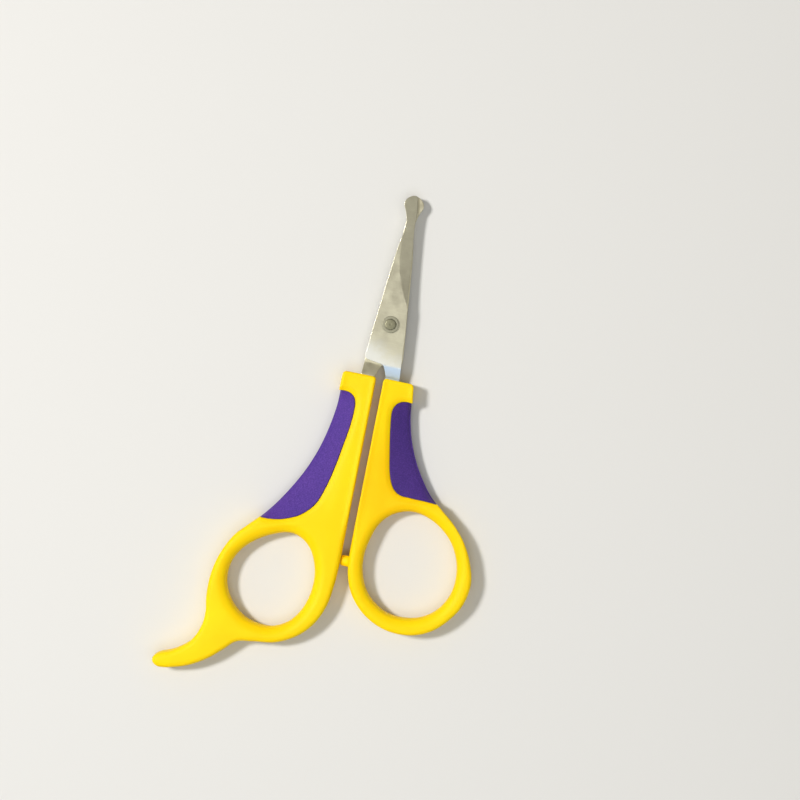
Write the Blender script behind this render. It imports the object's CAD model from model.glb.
"""Small scissors lying flat: two yellow plastic handle halves with purple soft
grips, two steel blades with bulbous tips, and a riveted pivot at the origin.

+x points to the thumb ring, -x to the finger ring, +y to the blade tips and +z up.
Shapes are worked out in millimetres and scaled to metres when a mesh is made;
materials, lights and the camera are in metres."""
import math

import bmesh
import bpy
import numpy as np
from mathutils import Matrix, Vector
from mathutils.geometry import delaunay_2d_cdt


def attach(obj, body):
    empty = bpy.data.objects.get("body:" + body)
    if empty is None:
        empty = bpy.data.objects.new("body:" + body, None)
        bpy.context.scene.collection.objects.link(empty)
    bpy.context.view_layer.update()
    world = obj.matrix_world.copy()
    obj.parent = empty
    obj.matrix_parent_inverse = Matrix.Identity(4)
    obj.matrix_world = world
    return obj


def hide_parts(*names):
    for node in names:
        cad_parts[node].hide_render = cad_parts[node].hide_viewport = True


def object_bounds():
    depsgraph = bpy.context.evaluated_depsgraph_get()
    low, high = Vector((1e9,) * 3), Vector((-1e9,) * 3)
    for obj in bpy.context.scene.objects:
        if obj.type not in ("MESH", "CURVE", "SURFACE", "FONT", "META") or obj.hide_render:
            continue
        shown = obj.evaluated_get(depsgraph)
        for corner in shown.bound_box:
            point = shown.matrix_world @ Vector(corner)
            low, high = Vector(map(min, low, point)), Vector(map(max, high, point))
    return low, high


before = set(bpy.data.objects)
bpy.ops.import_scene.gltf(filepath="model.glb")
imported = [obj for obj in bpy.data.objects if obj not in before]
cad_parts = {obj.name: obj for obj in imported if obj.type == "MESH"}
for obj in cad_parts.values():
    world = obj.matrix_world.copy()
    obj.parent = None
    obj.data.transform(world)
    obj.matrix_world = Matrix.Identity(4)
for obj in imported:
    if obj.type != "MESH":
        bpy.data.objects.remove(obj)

CAD_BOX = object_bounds()
MM = 0.001

HALF_SLOT = 0.9         # half the slot between the two handle halves
HALF_THICK = 3.0        # half the handle's thickness
BLADE_THICK = 1.4       # each blade lies between z = 0 and this, or its mirror


# ---------------------------------------------------------------- plane curves
def knots(a, b, c, d, count):
    """Catmull-Rom points from b up to, but not including, c."""
    t = (np.arange(count) / count)[:, None]
    return 0.5 * (2 * b + (c - a) * t + (2 * a - 5 * b + 4 * c - d) * t ** 2
                  + (3 * b - 3 * c + d - a) * t ** 3)


def curve(points, count=12):
    """An open smooth curve through the points."""
    p = np.array(points, float)
    last = len(p) - 1
    spans = [knots(p[max(i - 1, 0)], p[i], p[i + 1], p[min(i + 2, last)], count)
             for i in range(last)]
    return np.vstack(spans + [p[-1:]])


def loop(points, count=12):
    """A closed smooth curve through the points."""
    p = np.array(points, float)
    m = len(p)
    return np.vstack([knots(p[i - 1], p[i], p[(i + 1) % m], p[(i + 2) % m], count)
                      for i in range(m)])


def arc(cx, cy, radius, start, end, count=8):
    """Points on a circle between two angles in degrees."""
    a = np.radians(np.linspace(start, end, count + 1))
    return np.stack([cx + radius * np.cos(a), cy + radius * np.sin(a)], 1)


def spaced(line, step, closed=True):
    """The same line, with points about step apart."""
    q = np.vstack([line, line[:1]]) if closed else np.asarray(line, float)
    gaps = np.linalg.norm(np.diff(q, axis=0), axis=1)
    q = q[np.concatenate([[True], gaps > 1e-9])]
    along = np.concatenate([[0], np.cumsum(np.linalg.norm(np.diff(q, axis=0), axis=1))])
    count = max(int(round(along[-1] / step)), 3)
    at = np.linspace(0, along[-1], count + 1)
    out = np.stack([np.interp(at, along, q[:, 0]), np.interp(at, along, q[:, 1])], 1)
    return out[:-1] if closed else out


def ccw(p):
    """The closed line turned to run anticlockwise."""
    q = np.roll(p, -1, 0)
    signed_area = float((p[:, 0] * q[:, 1] - q[:, 0] * p[:, 1]).sum() / 2)
    return p if signed_area > 0 else p[::-1].copy()


def outward(line, closed=True):
    """Unit normals to the right of travel: outward on an anticlockwise loop."""
    if closed:
        t = np.roll(line, -1, 0) - np.roll(line, 1, 0)
    else:
        t = np.gradient(line, axis=0)
    t /= np.maximum(np.linalg.norm(t, axis=1), 1e-12)[:, None]
    return np.stack([t[:, 1], -t[:, 0]], 1)


def dist(points, line, closed=True):
    """Distance of each point to a polyline."""
    start, end = (line, np.roll(line, -1, 0)) if closed else (line[:-1], line[1:])
    span = end - start
    length2 = np.maximum((span ** 2).sum(1), 1e-18)
    out = np.empty(len(points))
    for i in range(0, len(points), 1500):
        p = points[i:i + 1500, None, :] - start[None]
        t = np.clip((p * span[None]).sum(2) / length2[None], 0, 1)
        out[i:i + 1500] = np.sqrt(((p - t[..., None] * span[None]) ** 2).sum(2).min(1))
    return out


def inside(points, poly):
    """Whether each point lies inside a closed polygon."""
    a, b = poly, np.roll(poly, -1, 0)
    rise = np.where(b[:, 1] == a[:, 1], 1e-12, b[:, 1] - a[:, 1])
    slope = (b[:, 0] - a[:, 0]) / rise
    out = np.zeros(len(points), bool)
    for i in range(0, len(points), 4000):
        x, y = points[i:i + 4000, 0:1], points[i:i + 4000, 1:2]
        crosses = (a[None, :, 1] > y) != (b[None, :, 1] > y)
        cross_x = a[None, :, 0] + (y - a[None, :, 1]) * slope[None]
        out[i:i + 4000] = (crosses & (x < cross_x)).sum(1) % 2 == 1
    return out


def smooth(t):
    t = np.clip(t, 0, 1)
    return t * t * (3 - 2 * t)


def hexgrid(low, high, step):
    rows = []
    for k, y in enumerate(np.arange(low[1], high[1], step * 0.866)):
        xs = np.arange(low[0] + (step / 2 if k % 2 else 0), high[0], step)
        rows.append(np.stack([xs, np.full(len(xs), y)], 1))
    return np.vstack(rows)


def wobble(x, y, seed, wave):
    """A slow, smooth, repeatable unevenness between about -1 and 1."""
    rng = np.random.default_rng(seed)
    out = np.zeros_like(x)
    for _ in range(6):
        k = rng.uniform(0.6, 1.4) * 2 * np.pi / wave
        a = rng.uniform(0, 2 * np.pi)
        out += np.sin(k * (x * np.cos(a) + y * np.sin(a)) + rng.uniform(0, 6.28))
    return out / 6


def rings_beside(line, closed, distances, side):
    """Copies of a line at each distance: to the left of travel for side 1, to
    the right for -1. Points that come too near another part are left out."""
    normals = outward(line, closed)
    out = []
    for r in distances:
        p = line - side * normals * r
        out.append(p[np.abs(dist(p, line, closed) - r) < 0.02 * max(r, 0.2)])
    return np.vstack(out)


def quarter(radius, count):
    """Distances that step evenly round a quarter circle."""
    return radius * (1 - np.cos(np.linspace(0, np.pi / 2, count + 1)[1:]))


def drop(d, radius):
    """How far a rounded edge has fallen at distance d from it."""
    k = np.clip(radius - d, 0, None)
    return radius - np.sqrt(np.maximum(radius * radius - k * k, 0))


def thin_out(points, gap):
    """Drops points closer than gap to one already kept."""
    cells = {}
    keep = []
    for i, p in enumerate(points):
        cx, cy = (int(math.floor(c / gap)) for c in p)
        near = (points[j] for u in (-1, 0, 1) for v in (-1, 0, 1)
                for j in cells.get((cx + u, cy + v), ()))
        if not any((q[0] - p[0]) ** 2 + (q[1] - p[1]) ** 2 < gap * gap for q in near):
            cells.setdefault((cx, cy), []).append(i)
            keep.append(i)
    return points[keep]


# ------------------------------------------------------------- sheet to solid
def triangulate(loops, open_line, free, keep):
    """Triangles over the closed loops, an optional open line and the free
    points, kept where keep(centroids) says so."""
    lines = [(p, True) for p in loops]
    if open_line is not None:
        lines.append((open_line, False))
    edges = []
    base = 0
    for p, closed in lines:
        n = len(p)
        edges += [(base + i, base + i + 1) for i in range(n - 1)]
        if closed:
            edges.append((base + n - 1, base))
        base += n
    verts = np.vstack([p for p, _ in lines] + [free])
    co, _, faces, _, _, _ = delaunay_2d_cdt([Vector(v) for v in verts], edges, [], 0, 1e-6)
    co = np.array([(v.x, v.y) for v in co])
    tri = np.array([f[:] for f in faces if len(f) == 3], int)
    a, b, c = co[tri[:, 0]], co[tri[:, 1]], co[tri[:, 2]]
    doubled = ((b[:, 0] - a[:, 0]) * (c[:, 1] - a[:, 1])
               - (c[:, 0] - a[:, 0]) * (b[:, 1] - a[:, 1]))
    tri[doubled < 0] = tri[doubled < 0][:, ::-1]
    tri = tri[np.abs(doubled) > 1e-9]
    tri = tri[keep(co[tri].mean(1))]
    used = np.unique(tri)
    renumber = np.full(len(co), -1)
    renumber[used] = np.arange(len(used))
    return co[used], renumber[tri]


def rim(tri):
    """Directed edges used by one triangle only."""
    edges = np.vstack([tri[:, [0, 1]], tri[:, [1, 2]], tri[:, [2, 0]]])
    _, index, uses = np.unique(np.sort(edges, 1), axis=0, return_index=True,
                               return_counts=True)
    return edges[index[uses == 1]]


def shade_smooth(mesh):
    mesh.polygons.foreach_set("use_smooth", [True] * len(mesh.polygons))


def make_mesh(name, verts, faces):
    """A smooth-shaded object from vertices in millimetres."""
    mesh = bpy.data.meshes.new(name)
    mesh.from_pydata([tuple(v) for v in np.asarray(verts) * MM], [],
                     [tuple(int(i) for i in f) for f in faces])
    mesh.validate()
    mesh.update()
    shade_smooth(mesh)
    ob = bpy.data.objects.new(name, mesh)
    bpy.context.scene.collection.objects.link(ob)
    return ob


def solid(name, co, tri, top, bottom, rows, crisp=False):
    """A closed solid between two height fields over one triangulated sheet.
    rows: (fraction down the wall, outward offset) of extra rings of the wall.
    crisp: the arrises stay sharp, as on ground steel."""
    n = len(co)
    verts = [np.column_stack([co, top]), np.column_stack([co, bottom])]
    faces = [list(t) for t in tri] + [[t[0] + n, t[2] + n, t[1] + n] for t in tri]
    edges = rim(tri)
    ids = np.unique(edges)
    normals = np.zeros((n, 2))
    for a, b in edges:
        d = co[b] - co[a]
        v = np.array([d[1], -d[0]])
        normals[a] += v
        normals[b] += v
    length = np.linalg.norm(normals, axis=1)
    normals[length > 0] /= length[length > 0][:, None]
    levels = [np.arange(n)]
    base = 2 * n
    for down, offset in rows:
        level = np.full(n, -1)
        level[ids] = base + np.arange(len(ids))
        levels.append(level)
        verts.append(np.column_stack([co[ids] + normals[ids] * offset,
                                      top[ids] * (1 - down) + bottom[ids] * down]))
        base += len(ids)
    levels.append(np.arange(n) + n)
    for a, b in edges:
        for upper, lower in zip(levels[:-1], levels[1:]):
            faces.append([lower[a], lower[b], upper[b], upper[a]])
    ob = make_mesh(name, np.vstack(verts), faces)
    if crisp:
        arris = {frozenset(e) for e in np.vstack([edges, edges + n]).tolist()}
        mesh = ob.data
        ends = np.empty(2 * len(mesh.edges), int)
        mesh.edges.foreach_get("vertices", ends)
        flags = [frozenset(e) in arris for e in ends.reshape(-1, 2).tolist()]
        sharp = mesh.attributes.new("sharp_edge", "BOOLEAN", "EDGE")
        sharp.data.foreach_set("value", flags)
    return ob


# ------------------------------------------------------------------- outlines
# All rows are x, y in mm.
SLOT_CORNER = 0.8       # radius of the arms' top corners beside the slot

# finger half: down the slot, round the finger ring, back up the outside
left_side = [
    [-HALF_SLOT, -16], [-HALF_SLOT, -30], [-HALF_SLOT, -46], [-HALF_SLOT, -52],
    [-HALF_SLOT, -58], [-1.2, -63.5], [-2, -68.6], [-4.1, -73.2], [-7.5, -76.8],
    [-12.2, -79.25], [-17.4, -80.05], [-21.3, -80.8], [-24.1, -83.3], [-27.45, -86.2],
    [-32.1, -88.8], [-37.4, -90.2], [-39.6, -89.75], [-40.2, -88.4], [-38.9, -87],
    [-35.5, -85.55], [-32.05, -82.75], [-30.25, -78.8], [-29.95, -75.2], [-30.5, -71.4],
    [-30.45, -66.2], [-29.25, -61.05], [-26.95, -56.4], [-23.9, -53], [-21.4, -50.4],
    [-18.7, -46.9], [-15.9, -42.4], [-13.3, -37.4], [-11.3, -32.2], [-9.9, -26.6],
    [-9.1, -21.2], [-9, -17], [-8.9, -13.8]]
left_outline = ccw(np.vstack([
    arc(-8, -13.7, 0.9, 165, 90),
    arc(-HALF_SLOT - SLOT_CORNER, -13.6, SLOT_CORNER, 90, 0),
    curve(left_side)[:-1]]))
left_hole = ccw(loop([
    [-14.1, -53.15], [-11, -53.85], [-8.5, -55.95], [-6.9, -59.1], [-6.15, -62.6],
    [-6.4, -66.8], [-7.75, -70.75], [-10.1, -73.85], [-13.5, -75.7], [-17.25, -75.8],
    [-21, -74.55], [-24.4, -71.55], [-26.4, -67.35], [-26.35, -63], [-24.6, -59.35],
    [-21.7, -56.5], [-18, -54.35]]))

# thumb half: down the outside, round the thumb ring, back up the slot
right_side = [
    [8.25, -13.7], [8.5, -15.6], [8.8, -17.6], [9.25, -21.2], [10.3, -25.6], [12.1, -30.2],
    [14.6, -34.6], [17.5, -38.4], [20.6, -41], [24, -43.85], [27.05, -47.4], [29.4, -51.8],
    [30.65, -56.8], [29.75, -61.95], [27.3, -66], [23.95, -69.3], [19.8, -71.25],
    [15.2, -71.7], [10.6, -70.7], [6.4, -68.2], [3.2, -64.5], [1.5, -60.25],
    [HALF_SLOT + 0.05, -55.6], [HALF_SLOT, -51], [HALF_SLOT, -46], [HALF_SLOT, -30],
    [HALF_SLOT, -16]]
right_outline = ccw(np.vstack([
    arc(HALF_SLOT + SLOT_CORNER, -13.6, SLOT_CORNER, 180, 90),
    arc(7.4, -13.75, 0.85, 90, 15),
    curve(right_side)]))
right_hole = ccw(loop([
    [14.3, -42.65], [11.1, -43.25], [8.35, -44.85], [6.25, -47.5], [5.05, -51.05],
    [4.4, -55], [4.9, -59.2], [6.65, -63.15], [9.6, -66], [13.15, -67.6], [17.15, -67.75],
    [21, -66.7], [24.3, -64.1], [26.4, -60.3], [26.9, -56.1], [26.15, -51.9], [24, -47.9],
    [21.05, -45.15], [17.75, -43.4]]))

# where plastic meets grip, from above the grip to below it; both ends lie
# outside the outline
left_border = curve([
    [-12, -17.5], [-10, -17.5], [-8.5, -17.5], [-7.4, -17.45], [-6.1, -17.75],
    [-4.95, -18.8], [-4.5, -20.9], [-4.7, -25.2], [-5.5, -30.6], [-6.45, -36.2],
    [-7.65, -41.2], [-9.2, -45.2], [-12.1, -48.3], [-15.9, -50.1], [-19, -50.7],
    [-21, -50.75], [-23.5, -50.8], [-25, -50.8]])
right_border = curve([
    [12, -17.45], [10, -17.4], [8.35, -17.35], [7.2, -17.3], [5.8, -17.7], [4.7, -18.8],
    [4.3, -20.8], [4.8, -25], [5.6, -29.6], [6.5, -34.2], [7.75, -37.5], [9.75, -39.25],
    [12.6, -39.55], [16.2, -39.65], [18.9, -39.85], [20.8, -40.1], [23.5, -40.5],
    [25, -40.8]])

# ---------------------------------------------------------- handles and grips
STEP = 0.34             # point spacing along outlines and borders
HANDLE_GRID = 0.62
GRIP_GRID = 0.42
ON_LINE = 0.008         # free points nearer a line than this are dropped
MERGE = 0.02            # least gap between free points
FAR_X = 45              # beyond the outer edge of both halves
LIP_W, LIP_D = 1.3, 0.55    # width and depth of the plastic's soft dip to the grip
PARTING_LINE = [(0.44, 0.0), (0.485, 0.035), (0.515, 0.035), (0.56, 0.0)]
GRIP_GAP = 0.09         # between grip and plastic
GRIP_LIP = 0.22         # rounding of the grip along the border
GRIP_EDGE = 0.9         # rounding of its free edge
GRIP_HEIGHT = 2.70
GRIP_LEAST = 0.12       # least half-thickness


def grip_region(line, border):
    """The region on the grip's side of a line that follows a border."""
    far_x = math.copysign(FAR_X, border[0, 0])
    return np.vstack([line, [[far_x, border[-1, 1]], [far_x, border[0, 1]]]])


def grip_sign(line, region):
    """1 if the grip's region is to the right of travel, -1 if to the left."""
    probe = (line + outward(line, False) * 0.3)[len(line) // 2][None]
    return 1.0 if inside(probe, region)[0] else -1.0


def lean(x, y):
    """The arms fall a little from the slot towards the outside."""
    return 0.075 * np.clip(np.abs(x) - 1.2, 0, 5.5) * smooth((y + 53) / 13)


def lip_drop(d):
    return LIP_D * (1 - np.clip(d, 0, LIP_W) / LIP_W) ** 1.7


def handle(name, outline, hole, border, edge_radius, hole_radius, arm_radius, seed):
    """One plastic half. edge_radius rounds the ring's outer edge, arm_radius
    the arm's."""
    outline = spaced(outline, STEP)
    hole = spaced(hole, STEP)
    line = spaced(border, STEP, False)
    region = grip_region(line, border)

    def distances(p):
        return dist(p, outline), dist(p, hole), dist(p, line, False)

    def in_plastic(p):
        return inside(p, outline) & ~inside(p, hole) & ~inside(p, region)

    bands = np.vstack([
        rings_beside(outline, True, quarter(edge_radius, 9), 1),
        rings_beside(hole, True, quarter(hole_radius, 11), -1),
        rings_beside(line, False, quarter(LIP_W, 8), grip_sign(line, region))])
    grid = hexgrid(outline.min(0), outline.max(0), HANDLE_GRID)
    to_edge, to_hole, to_grip = distances(grid)
    grid = grid[(to_edge > edge_radius + 0.2) & (to_hole > hole_radius + 0.2)
                & (to_grip > LIP_W + 0.2)]
    free = np.vstack([bands, grid])
    free = free[in_plastic(free)]
    free = thin_out(free[np.min(distances(free), axis=0) > ON_LINE], MERGE)
    co, tri = triangulate([outline, hole], line, free, in_plastic)

    to_edge, to_hole, to_grip = distances(co)
    x, y = co[:, 0], co[:, 1]
    # the edge radius changes from ring to arm over 9 mm of y
    edge = edge_radius + (arm_radius - edge_radius) * smooth((y + 54) / 9)
    from_rim = np.minimum(np.minimum(to_edge, to_hole), to_grip + 0.6)
    # the flats are very slightly crowned and a little uneven, as moulded
    crown = 0.20 * (1 - smooth(from_rim / 5.0))
    sink = 0.020 * wobble(x, y, seed, 17) + 0.006 * wobble(x, y, seed + 1, 5)
    fall = (drop(to_edge, edge) ** 3 + drop(to_hole, hole_radius) ** 3
            + lip_drop(to_grip) ** 3) ** (1 / 3)
    z = (HALF_THICK - 0.03 - crown * smooth(from_rim / 1.6) - fall - lean(x, y)
         + sink * smooth(from_rim / 1.5))
    z = np.minimum(z, HALF_THICK)
    return solid(name, co, tri, z, -z, PARTING_LINE)


def grip(name, outline, border, fall, inset, seed):
    """One soft grip. fall: how far it sinks from border to free edge.
    inset: (y stations, distance inside the outline at each)."""
    outline = spaced(outline, STEP)
    edge = outline - outward(outline) * np.interp(outline[:, 1], *inset)[:, None]
    line = spaced(border, STEP, False)
    region = grip_region(line, border)
    low, high = region.min(0), region.max(0)
    side = grip_sign(line, region)
    line = line + outward(line, False) * side * GRIP_GAP
    region = grip_region(line, border)

    def in_grip(p):
        return inside(p, edge) & inside(p, region)

    bands = np.vstack([
        rings_beside(edge, True, quarter(GRIP_EDGE, 7), 1),
        rings_beside(line, False, quarter(GRIP_LIP, 5), -side)])
    grid = hexgrid(low, high, GRIP_GRID)
    grid = grid[(dist(grid, edge) > GRIP_EDGE * 0.8)
                & (dist(grid, line, False) > GRIP_LIP + 0.12)]
    free = np.vstack([bands, grid])
    free = free[in_grip(free)]
    free = free[(dist(free, edge) > ON_LINE) & (dist(free, line, False) > ON_LINE)]
    co, tri = triangulate([edge], line, thin_out(free, MERGE), in_grip)

    x, y = co[:, 0], co[:, 1]
    to_edge, to_line = dist(co, edge), dist(co, line, False)
    across = to_line / np.maximum(to_line + to_edge, 1e-6)
    body = GRIP_HEIGHT - lean(x, y) - fall * (0.72 * across + 0.28 * across ** 2.4)
    z = (body - drop(to_line, GRIP_LIP) - drop(to_edge, GRIP_EDGE) * smooth(to_line / 0.6)
         + 0.012 * wobble(x, y, seed, 6))
    z = np.maximum(z, GRIP_LEAST)
    return solid(name, co, tri, z, -z, [(0.5, 0.05)])


left = handle("left_handle_moulding", left_outline, left_hole, left_border,
              edge_radius=1.5, hole_radius=2.55, arm_radius=0.62, seed=11)
right = handle("right_handle_moulding", right_outline, right_hole, right_border,
               edge_radius=1.35, hole_radius=2.3, arm_radius=0.42, seed=23)
left_soft = grip("left_soft_grip", left_outline, left_border, fall=1.85,
                 inset=([-51, -40, -17], [0.12, 0.3, 0.36]), seed=5)
right_soft = grip("right_soft_grip", right_outline, right_border, fall=2.05,
                  inset=([-41, -30, -17], [0.04, 0.14, 0.32]), seed=9)


# --------------------------------------------------------------- turned parts
def lathe(name, profile, segments=96, axis="z", at=(0, 0, 0)):
    """A turned solid. profile: (radius, height), from axis to axis or a closed
    ring that repeats its first point."""
    verts, faces, rings = [], [], []
    for radius, z in profile:
        start = len(verts)
        if radius < 1e-6:
            verts.append((0, 0, z))
        else:
            for i in range(segments):
                a = 2 * math.pi * i / segments
                verts.append((radius * math.cos(a), radius * math.sin(a), z))
        rings.append(list(range(start, len(verts))))
    for p, q in zip(rings[:-1], rings[1:]):
        for i in range(segments):
            j = (i + 1) % segments
            if len(p) == 1:
                faces.append((p[0], q[j], q[i]))
            elif len(q) == 1:
                faces.append((p[i], p[j], q[0]))
            else:
                faces.append((p[i], p[j], q[j], q[i]))
    verts = np.array(verts, float)
    if axis == "x":
        verts = verts[:, [2, 1, 0]] * np.array([1, 1, -1])
    ob = make_mesh(name, verts + np.array(at), faces)
    bm = bmesh.new()
    bm.from_mesh(ob.data)
    bmesh.ops.recalc_face_normals(bm, faces=bm.faces)
    bm.to_mesh(ob.data)
    bm.free()
    return ob


def rounded(points, radius, count=4):
    """An open profile with its inner corners rounded."""
    out = [points[0]]
    for a, b, c in zip(points[:-2], points[1:-1], points[2:]):
        a, b, c = map(np.array, (a, b, c))
        u, v = a - b, c - b
        lu, lv = np.linalg.norm(u), np.linalg.norm(v)
        k = min(radius, lu * 0.48, lv * 0.48)
        p, q = b + u / lu * k, b + v / lv * k
        for i in range(count + 1):
            t = i / count
            w = (1 - t) ** 2 * p + 2 * (1 - t) * t * b + t * t * q
            out.append((float(w[0]), float(w[1])))
    out.append(points[-1])
    return out


def union(target, other):
    """Joins other into target and removes it."""
    join = target.modifiers.new("join", "BOOLEAN")
    join.object = other
    join.operation = "UNION"
    join.solver = "EXACT"
    depsgraph = bpy.context.evaluated_depsgraph_get()
    mesh = bpy.data.meshes.new_from_object(target.evaluated_get(depsgraph))
    target.modifiers.clear()
    target.data = mesh
    shade_smooth(mesh)
    bpy.data.objects.remove(other)


# a round-ended stop on the thumb ring that reaches across the slot
NUB_RADIUS, NUB_ROUND, NUB_Y = 1.3, 0.62, -57.2
NUB_ROOT = 2.6                  # x of the end buried in the thumb half
NUB_END = -HALF_SLOT + 0.08     # x of the free end
nub = lathe("nub", rounded([(0, NUB_ROOT), (NUB_RADIUS, NUB_ROOT), (NUB_RADIUS, NUB_END),
                            (0, NUB_END)], NUB_ROUND, 7),
            segments=48, axis="x", at=(0, NUB_Y, 0))
union(right, nub)

# -------------------------------------------------------------------- blades
BEVEL = math.radians(13)
WHEEL = 115.0                   # radius of the wheel on which the bevel runs out
GRIND_X, GRIND_Y = -1, 17       # a point on the bevel's straight upper border
GRIND_TURN = math.radians(5.12)
BORE = 1.04                     # radius of the pivot hole
BLADE_STEP = 0.16
SET_OVER_Y, SET_OVER_RUN = -9.75, 2.9   # top and length of the ramp to the tang

# x, y in mm, of the blade whose cutting edge faces +x
tip_side = [
    [0.25, 31.16], [-0.4, 31.12], [-1.1, 30.84], [-1.8, 30.24], [-2.22, 29.6],
    [-2.33, 28.9], [-2.2, 28.3], [-1.85, 27.6], [-1.52, 26.7], [-1.28, 25.9], [-1.1, 25.0]]
spine = tip_side + [[-1.05, 24.0], [-1.15, 22.4], [-1.5, 20.4], [-1.9, 18]]
edge_side = [
    [0.25, 31.16], [0.55, 30.85], [0.7, 30.0], [0.88, 29.1], [1.1, 27.8], [1.13, 26.4],
    [1.12, 25.2], [1.15, 23.8], [1.4, 21.2], [1.8, 17.6], [2.2, 13.6], [2.55, 9.8],
    [2.8, 6.9], [2.95, 5.3]]
tang_outer = [[3.34, 4.0], [3.72, 0], [4.25, -7], [4.6, -12.4], [4.35, -20], [4.1, -36]]
tang_inner = [[2.4, -36], [2.4, -20], [2.1, -15], [1.45, -13.2]]
back_side = [[-4.42, -6.6], [-3.8, 0], [-3.3, 5], [-2.8, 10], [-2.3, 15]]
blade_plan = ccw(np.vstack([
    curve(edge_side, 10),
    curve([[3.0, 5.0], [3.12, 4.6], [3.3, 4.35]], 4),
    spaced(np.array(tang_outer), 0.5, False),
    np.array(tang_inner),
    curve([[1.3, -12.6], [0.9, -11.5], [0.45, -10.4], [0.05, -9.87], [-0.5, -9.62]], 6),
    curve([[-1.6, -9.45], [-3.2, -9.2], [-4.0, -8.98], [-4.42, -8.6], [-4.5, -8.0]], 5),
    spaced(np.array(back_side), 0.5, False),
    curve(spine, 10)[::-1]]))


def soft_min(a, b, k):
    h = np.clip(0.5 + 0.5 * (b - a) / k, 0, 1)
    return b * (1 - h) + a * h - k * h * (1 - h)


def wheel_rise(along):
    """How far the wheel's curve has left the straight bevel; 0 above its start."""
    return WHEEL - np.sqrt(WHEEL ** 2 - np.clip(along, -40, 0) ** 2)


def bevel_border(outline):
    """Points on the bevel's upper border: straight, then running out."""
    along = np.concatenate([np.linspace(14, 0, 70), -np.linspace(0.2, 13.2, 70)])
    across = wheel_rise(along) / math.tan(BEVEL)
    c, s = math.cos(GRIND_TURN), math.sin(GRIND_TURN)
    border = np.stack([GRIND_X + c * across - s * along,
                       GRIND_Y + s * across + c * along], 1)
    return border[inside(border, outline) & (dist(border, outline) > 0.05)]


def blade_sheet(outline):
    """The blade's plan, triangulated with a hole at the pivot."""
    bore = arc(0, 0, BORE, 0, 360, 48)[:-1]
    crease = bevel_border(outline)
    bands = np.vstack([
        rings_beside(outline, True, [0.02, 0.05, 0.09, 0.14, 0.2, 0.28], 1),
        rings_beside(crease, False, [0.05, 0.11], 1),
        rings_beside(crease, False, [0.05, 0.11], -1),
        crease[dist(crease, outline) > 0.12]])
    # fine over the blade, coarse over the tang
    grid = np.vstack([hexgrid((-5, -14.5), (5.2, 31.6), 0.17),
                      hexgrid((1, -36), (5, -14.5), 0.5)])
    grid = grid[inside(grid, outline)]
    grid = grid[(dist(grid, outline) > 0.3) & (dist(grid, crease, False) > 0.16)
                & (np.hypot(grid[:, 0], grid[:, 1]) > 1.15)]
    free = np.vstack([bands, grid])
    free = free[inside(free, outline) & (np.hypot(free[:, 0], free[:, 1]) > 1.06)]
    free = thin_out(free[dist(free, outline) > 0.01], 0.03)
    return triangulate([outline, bore], None, free, lambda p: inside(p, outline)
                       & (np.hypot(p[:, 0], p[:, 1]) > 1.035))


def blade_heights(co, outline):
    """Top and bottom of the blade."""
    x, y = co[:, 0], co[:, 1]
    to_edge = dist(co, outline)
    c, s = math.cos(GRIND_TURN), math.sin(GRIND_TURN)
    across = c * (x - GRIND_X) + s * (y - GRIND_Y)
    along = -s * (x - GRIND_X) + c * (y - GRIND_Y)
    ground = (BLADE_THICK - math.tan(BEVEL) * across
              + wheel_rise(along) / math.cos(BEVEL))
    plate = soft_min(np.full(len(x), BLADE_THICK), ground, 0.03)
    # the radius of the upper arris, by where it lies
    cutting = smooth((x - 0.1) / 0.4) * smooth((y - 5.0) / 0.4)
    upper = smooth((y - 14) / 3.5)
    back = (x < -0.2) * smooth((y + 8.5) / 1.0) * (1 - upper)
    arris = (0.04 * (1 - cutting) + 0.03 * cutting + 0.02 * back
             - 0.025 * upper * (x < 0) + 0.12 * smooth((y - 25) / 1.5) * (x > 0.1))
    plate = plate - drop(to_edge, np.maximum(arris, 0.02)) * 0.9
    # a straight ramp with a small radius at each end centres the tang on z = 0
    k = (SET_OVER_Y - y) / SET_OVER_RUN
    set_over = -BLADE_THICK / 2 * (np.clip(k, 0, 1) * 0.86 + 0.14 * smooth(k))
    bottom = 0.02 + drop(to_edge, 0.05) * 0.5
    return np.maximum(plate, 0.07) + set_over, bottom + set_over


def blade(name):
    outline = spaced(blade_plan, BLADE_STEP)
    co, tri = blade_sheet(outline)
    top, bottom = blade_heights(co, outline)
    return solid(name, co, tri, top, bottom, [(0.5, 0.0)], crisp=True)


front = blade("front_blade_steel")
rear = blade("rear_blade_steel")
rear.data.transform(Matrix.Rotation(math.pi, 4, "Y"))   # turned over under the front one

# --------------------------------------------------------------------- pivot
PIVOT_GAP = 0.02                # between neighbouring parts of the pivot
WASHER_IN, WASHER_OUT = 1.06, 2.0
washer_low = BLADE_THICK + PIVOT_GAP
washer_high = washer_low + 0.45
washer_corners = [(WASHER_IN, washer_low), (WASHER_OUT, washer_low),
                  (WASHER_OUT, washer_high), (WASHER_IN, washer_high),
                  (WASHER_IN, washer_low)]
washer_ring = rounded(washer_corners, 0.07)[1:-1]
washer = lathe("pivot_washer_ring", washer_ring + washer_ring[:1])

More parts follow.
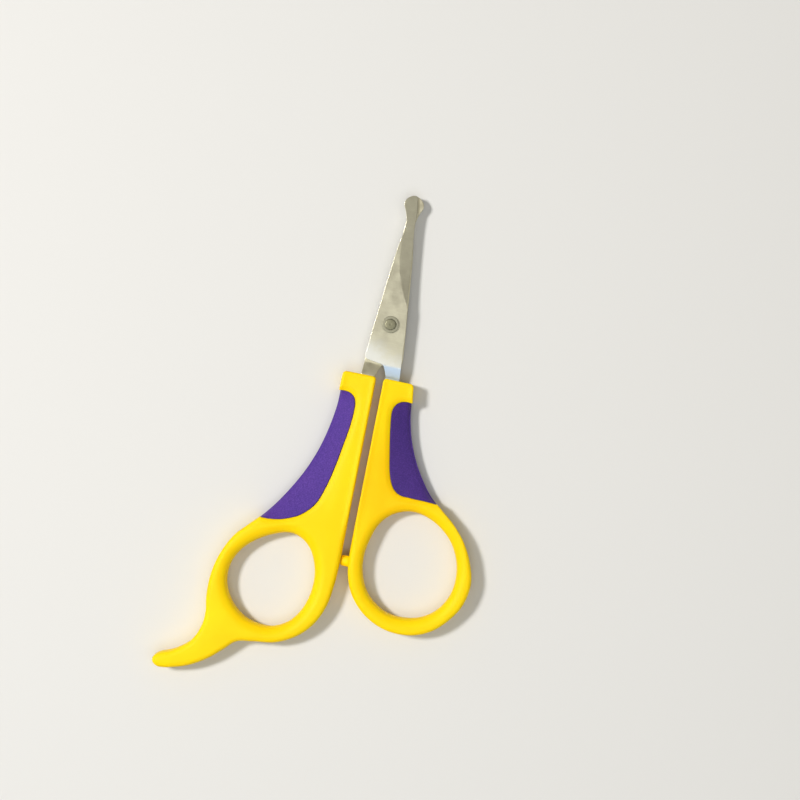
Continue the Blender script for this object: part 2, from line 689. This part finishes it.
# one turned part: a wide head below, the pin, and a small head with a faint
# central dimple above
head = washer_high + PIVOT_GAP
under = -BLADE_THICK
rivet = lathe("pivot_rivet_pin", (
    [(0, under - 0.67)]
    + [(r, under - 0.67 + 0.16 * (r / 1.9) ** 2.4) for r in np.linspace(0.3, 1.85, 8)]
    + rounded([(1.85, under - 0.52), (2.2, under - 0.38), (2.2, under - PIVOT_GAP),
               (1.0, under - PIVOT_GAP), (1.0, head), (1.34, head), (1.35, head + 0.17),
               (1.12, head + 0.213)], 0.08)[1:-1]
    + [(r, head + 0.3 - 0.05 * (r / 1.2) ** 2 - 0.04 * math.exp(-(r / 0.28) ** 2))
       for r in np.linspace(0, 1.12, 14)[::-1]]))


# ------------------------------------------------------------- shader helpers
def put(tree, target, inputs):
    """Sets inputs by name or number: sockets are linked, other values stored."""
    for key, value in inputs.items():
        if isinstance(value, bpy.types.NodeSocket):
            tree.links.new(value, target.inputs[key])
        else:
            target.inputs[key].default_value = value


def node(tree, kind, inputs=None, **settings):
    made = tree.nodes.new("ShaderNode" + kind)
    for key, value in settings.items():
        setattr(made, key, value)
    put(tree, made, inputs or {})
    return made


def find(tree, kind):
    return next(n for n in tree.nodes if n.bl_idname == "ShaderNode" + kind)


def new_material(name):
    material = bpy.data.materials.new(name)
    material.use_nodes = True
    tree = material.node_tree
    tree.nodes.clear()
    output = node(tree, "OutputMaterial")
    shader = node(tree, "BsdfPrincipled")
    tree.links.new(shader.outputs[0], output.inputs[0])
    return material, tree, shader


def srgb(*channels):
    """A linear colour from 0-255 sRGB channels."""
    scaled = [c / 255 for c in channels]
    return tuple(c / 12.92 if c <= 0.04045 else ((c + 0.055) / 1.055) ** 2.4
                 for c in scaled) + (1,)


def coords(tree, stretch=(1, 1, 1), turn=0.0):
    place = node(tree, "TexCoord").outputs["Object"]
    return node(tree, "Mapping", {"Vector": place, "Scale": stretch,
                                  "Rotation": (0, 0, turn)}).outputs["Vector"]


def noise(tree, vector, scale, detail, roughness):
    return node(tree, "TexNoise", {"Vector": vector, "Scale": scale, "Detail": detail,
                                   "Roughness": roughness}).outputs["Fac"]


def ramp(tree, factor, stops):
    made = node(tree, "ValToRGB", {"Fac": factor})
    elements = made.color_ramp.elements
    while len(elements) < len(stops):
        elements.new(0.5)
    for element, (position, colour) in zip(elements, stops):
        element.position = position
        element.color = colour
    return made.outputs["Color"]


def remap(tree, value, source=(0, 1), target=(0, 1), kind="LINEAR"):
    return node(tree, "MapRange", {
        "Value": value, "From Min": source[0], "From Max": source[1],
        "To Min": target[0], "To Max": target[1]}, interpolation_type=kind).outputs["Result"]


def arithmetic(tree, operation, *values):
    return node(tree, "Math", dict(enumerate(values)), operation=operation).outputs[0]


def mix_colour(tree, factor, first, second):
    return node(tree, "Mix", {0: factor, 6: first, 7: second}, data_type="RGBA").outputs[2]


def bumps(tree, layers):
    """Bump layers of (height, strength, distance), each on the one before."""
    below = {}
    for height, strength, distance in layers:
        normal = node(tree, "Bump", {"Height": height, "Strength": strength,
                                     "Distance": distance, **below}).outputs["Normal"]
        below = {"Normal": normal}
    return normal


# ----------------------------------------------------------------- materials
def plastic():
    material, tree, shader = new_material("yellow_abs")
    vector = coords(tree)
    flow = noise(tree, vector, scale=95.0, detail=3.0, roughness=0.5)
    grain = noise(tree, vector, scale=2600.0, detail=2.0, roughness=0.55)
    colour = ramp(tree, flow, [(0.3, srgb(253, 211, 2)), (0.55, srgb(254, 215, 3)),
                               (0.8, srgb(255, 219, 5))])
    # the thick web beside the thumb ring is a shade deeper
    away = node(tree, "VectorMath", {0: vector, 1: (0.0065, -0.0370, 0.0)},
                operation="DISTANCE").outputs["Value"]
    near = remap(tree, away, source=(0.0165, 0.004), target=(0, 0.75), kind="SMOOTHSTEP")
    x = node(tree, "SeparateXYZ", {"Vector": vector}).outputs["X"]
    thumb_half = arithmetic(tree, "GREATER_THAN", x, 0.0)
    deeper = arithmetic(tree, "MULTIPLY", near, thumb_half)
    put(tree, shader, {
        "Base Color": mix_colour(tree, deeper, colour, srgb(253, 199, 2)),
        "Roughness": remap(tree, flow, target=(0.44, 0.56)),
        "Specular IOR Level": 0.14,
        "Subsurface Weight": 0.18,
        "Subsurface Radius": (1.0, 0.55, 0.05),
        "Subsurface Scale": 0.0012,
        "Normal": bumps(tree, [(grain, 0.12, 0.00003), (flow, 0.25, 0.00012)])})
    return material


def soft(name, depth):
    """Speckled purple rubber. depth: 1 for the finger side, lower for deeper."""
    def tone(*channels):
        return tuple(c * depth for c in srgb(*channels)[:3]) + (1,)

    material, tree, shader = new_material(name)
    vector = coords(tree)
    cloud = noise(tree, vector, scale=160.0, detail=3.0, roughness=0.6)
    speck = noise(tree, vector, scale=3300.0, detail=3.0, roughness=0.7)
    cell = node(tree, "TexVoronoi", {"Vector": vector, "Scale": 3600.0}).outputs["Distance"]
    base = ramp(tree, cloud, [(0.3, tone(70, 41, 137)), (0.7, tone(82, 47, 143))])
    dots = ramp(tree, speck, [(0.3, tone(52, 31, 110)), (0.5, tone(77, 45, 140)),
                              (0.72, tone(114, 74, 182))])
    put(tree, shader, {
        "Base Color": mix_colour(tree, 0.5, base, dots),
        "Roughness": 0.72,
        "Specular IOR Level": 0.35,
        "Sheen Weight": 0.18,
        "Sheen Roughness": 0.45,
        "Sheen Tint": srgb(190, 160, 235),
        "Normal": bumps(tree, [(speck, 0.55, 0.00006), (cell, 0.3, 0.00005)])})
    return material


def frosted(tree, vector, cloud, colour, roughness, span):
    """Turns colour and roughness frosted from the first y of span to the second,
    along a slanted, ragged border; bluer below the top of the tang's ramp."""
    slant, ragged = 0.4, 0.006
    xyz = node(tree, "SeparateXYZ", {"Vector": vector}).outputs
    slanted = arithmetic(tree, "MULTIPLY_ADD", xyz["X"], slant, xyz["Y"])
    shifted = arithmetic(tree, "MULTIPLY_ADD", cloud, ragged, slanted)
    amount = remap(tree, shifted, source=[y + ragged / 2 for y in span], kind="SMOOTHSTEP")
    below = remap(tree, xyz["Y"], source=(-0.0094, -0.0102), kind="SMOOTHSTEP")
    pale = mix_colour(tree, below, srgb(210, 211, 205), srgb(182, 198, 216))
    return (mix_colour(tree, amount, colour, pale),
            arithmetic(tree, "MULTIPLY_ADD", amount, 0.10, roughness))


def steel(name, dark, light, rough, frost=None):
    """Satin steel: fine cross brushing over a slightly blotchy, pitted skin.
    frost: y in metres where the frosted finish starts and is complete."""
    material, tree, shader = new_material(name)
    brushed = coords(tree, stretch=(300, 5200, 1200), turn=math.radians(8))
    lines = noise(tree, brushed, scale=1.0, detail=4.0, roughness=0.65)
    vector = coords(tree)
    cloud = noise(tree, vector, scale=420.0, detail=4.0, roughness=0.6)
    pit = noise(tree, vector, scale=4600.0, detail=3.0, roughness=0.65)
    both = node(tree, "Mix", {0: 0.62, 2: lines, 3: cloud}, data_type="FLOAT").outputs[0]
    colour = ramp(tree, both, [(0.3, srgb(*dark)), (0.7, srgb(*light))])
    roughness = remap(tree, cloud, source=(0.3, 0.7), target=(rough - 0.05, rough + 0.06))
    if frost:
        colour, roughness = frosted(tree, vector, cloud, colour, roughness, frost)
    put(tree, shader, {
        "Metallic": 1.0,
        "Base Color": colour,
        "Roughness": roughness,
        "Normal": bumps(tree, [(lines, 0.14, 0.00002), (pit, 0.16, 0.00002)])})
    return material


yellow = plastic()
purple = soft("purple_tpr_finger_side", depth=1.0)
purple_deep = soft("purple_tpr_thumb_side", depth=0.74)
front_steel = steel("satin_blade_steel", dark=(183, 179, 158), light=(201, 198, 176),
                    rough=0.37, frost=(-0.0034, -0.0098))
rear_steel = steel("satin_blade_steel_rear", dark=(193, 188, 162), light=(212, 207, 181),
                   rough=0.37)
washer_steel = steel("washer_steel", dark=(141, 139, 121), light=(158, 156, 137), rough=0.50)
rivet_steel = steel("rivet_steel", dark=(122, 120, 99), light=(140, 138, 116), rough=0.50)

# object, material, body it rides on, slot, CAD node it replaces
for ob, material, body, slot, cad_node in (
        (left, yellow, "left_half", "handle_plastic", "left_handle"),
        (right, yellow, "right_half", "handle_plastic", "right_handle"),
        (left_soft, purple, "left_half", "grip_rubber", "left_grip"),
        (right_soft, purple_deep, "right_half", "grip_rubber", "right_grip"),
        (front, front_steel, "right_half", "blade_steel", "front_blade"),
        (rear, rear_steel, "left_half", "blade_steel", "rear_blade"),
        (rivet, rivet_steel, "left_half", "pivot_steel", "pivot_rivet"),
        (washer, washer_steel, "left_half", "pivot_steel", "pivot_washer")):
    ob.data.materials.clear()
    ob.data.materials.append(material)
    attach(ob, body)
    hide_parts(cad_node)

# --------------------------------------------------------------------- floor
PALE = (0.80, 0.80, 0.785, 1)   # the backdrop
FLOOR_HALF = 1.6


def floor_material():
    """Pale matt floor that, for the camera, melts into the backdrop far out."""
    material, tree, shader = new_material("pale_floor")
    put(tree, shader, {"Base Color": (0.72, 0.72, 0.71, 1), "Roughness": 0.7,
                       "Specular IOR Level": 0.2})
    place = node(tree, "TexCoord").outputs["Object"]
    radius = node(tree, "VectorMath", {0: place}, operation="LENGTH").outputs["Value"]
    away = remap(tree, radius, source=(0.16, 0.62), kind="SMOOTHSTEP")
    seen = node(tree, "LightPath").outputs["Is Camera Ray"]
    amount = arithmetic(tree, "MULTIPLY", away, seen)
    glow = node(tree, "Emission", {"Color": PALE, "Strength": 1.0})
    mixed = node(tree, "MixShader", {0: amount, 1: shader.outputs[0], 2: glow.outputs[0]})
    put(tree, find(tree, "OutputMaterial"), {0: mixed.outputs[0]})
    return material


low = CAD_BOX[0][2]
floor_mesh = bpy.data.meshes.new("floor")
floor_mesh.from_pydata([(x * FLOOR_HALF, y * FLOOR_HALF, low)
                        for x, y in ((-1, -1), (1, -1), (1, 1), (-1, 1))],
                       [], [(0, 1, 2, 3)])
floor = bpy.data.objects.new("floor", floor_mesh)
bpy.context.scene.collection.objects.link(floor)
floor_mesh.materials.append(floor_material())

# -------------------------------------------------------------------- lights
LIT_CENTRE = Vector((0.0058, -0.0172, 0.0))


def area_light(name, direction, distance, size, power, colour):
    """A rectangular light in a direction from LIT_CENTRE, facing it."""
    light = bpy.data.lights.new(name, "AREA")
    light.shape = "RECTANGLE"
    light.size, light.size_y = size
    light.energy = power
    light.color = colour
    ob = bpy.data.objects.new(name, light)
    d = Vector(direction).normalized()
    ob.location = LIT_CENTRE + d * distance
    ob.rotation_euler = (-d).to_track_quat("-Z", "Y").to_euler()
    ob.visible_camera = False
    bpy.context.scene.collection.objects.link(ob)


area_light("key", direction=(-0.71, 0.095, 1.0), distance=1.0, size=(0.15, 0.15),
           power=7.7, colour=(1.0, 0.975, 0.94))
area_light("overhead", direction=(0.18, -0.24, 1.0), distance=0.62, size=(0.52, 0.36),
           power=0.76, colour=(1.0, 0.99, 0.95))
area_light("sky_patch", direction=(0.0, -0.47, 1.0), distance=0.6, size=(0.17, 0.15),
           power=0.16, colour=(0.60, 0.82, 1.0))


def studio_world():
    """Soft light, warmer overhead; the camera sees the plain backdrop."""
    world = bpy.data.worlds.new("studio")
    bpy.context.scene.world = world
    world.use_nodes = True
    tree = world.node_tree
    light = find(tree, "Background")
    direction = node(tree, "TexCoord").outputs["Generated"]
    z = node(tree, "SeparateXYZ", {"Vector": direction}).outputs["Z"]
    height = remap(tree, z, source=(-0.2, 1.0))
    sky = ramp(tree, height, [(0.1, (0.95, 0.95, 0.94, 1)), (0.9, (1.0, 0.95, 0.86, 1))])
    put(tree, light, {"Color": sky, "Strength": 0.34})
    backdrop = node(tree, "Background", {"Color": PALE, "Strength": 1.0})
    seen = node(tree, "LightPath").outputs["Is Camera Ray"]
    pick = node(tree, "MixShader", {0: seen, 1: light.outputs[0], 2: backdrop.outputs[0]})
    put(tree, find(tree, "OutputWorld"), {0: pick.outputs[0]})


studio_world()

# -------------------------------------------------------------------- camera
CAMERA_HEIGHT = 0.42
VIEW_HALF_WIDTH = 0.09524       # at z = 0
SENSOR = 36.0

camera_data = bpy.data.cameras.new("camera")
camera_data.sensor_width = SENSOR
camera_data.lens = SENSOR / 2 / (VIEW_HALF_WIDTH / CAMERA_HEIGHT)
camera_data.clip_start = 0.005
camera_data.clip_end = 20.0
camera = bpy.data.objects.new("camera", camera_data)
# straight down, with the picture's upright turned a little from +y towards -x
up = Vector((-0.1934, 0.9811, 0.0)).normalized()
look = Vector((0.0, 0.0, -1.0))
turn = Matrix((look.cross(up), up, -look)).transposed()
camera.matrix_world = (Matrix.Translation(Vector((0.00565, -0.01713, CAMERA_HEIGHT)))
                       @ turn.to_4x4())
bpy.context.scene.collection.objects.link(camera)
bpy.context.scene.camera = camera

view = bpy.context.scene.view_settings
view.view_transform = "Standard"
view.look = "None"
view.exposure = 0.0
view.gamma = 1.0
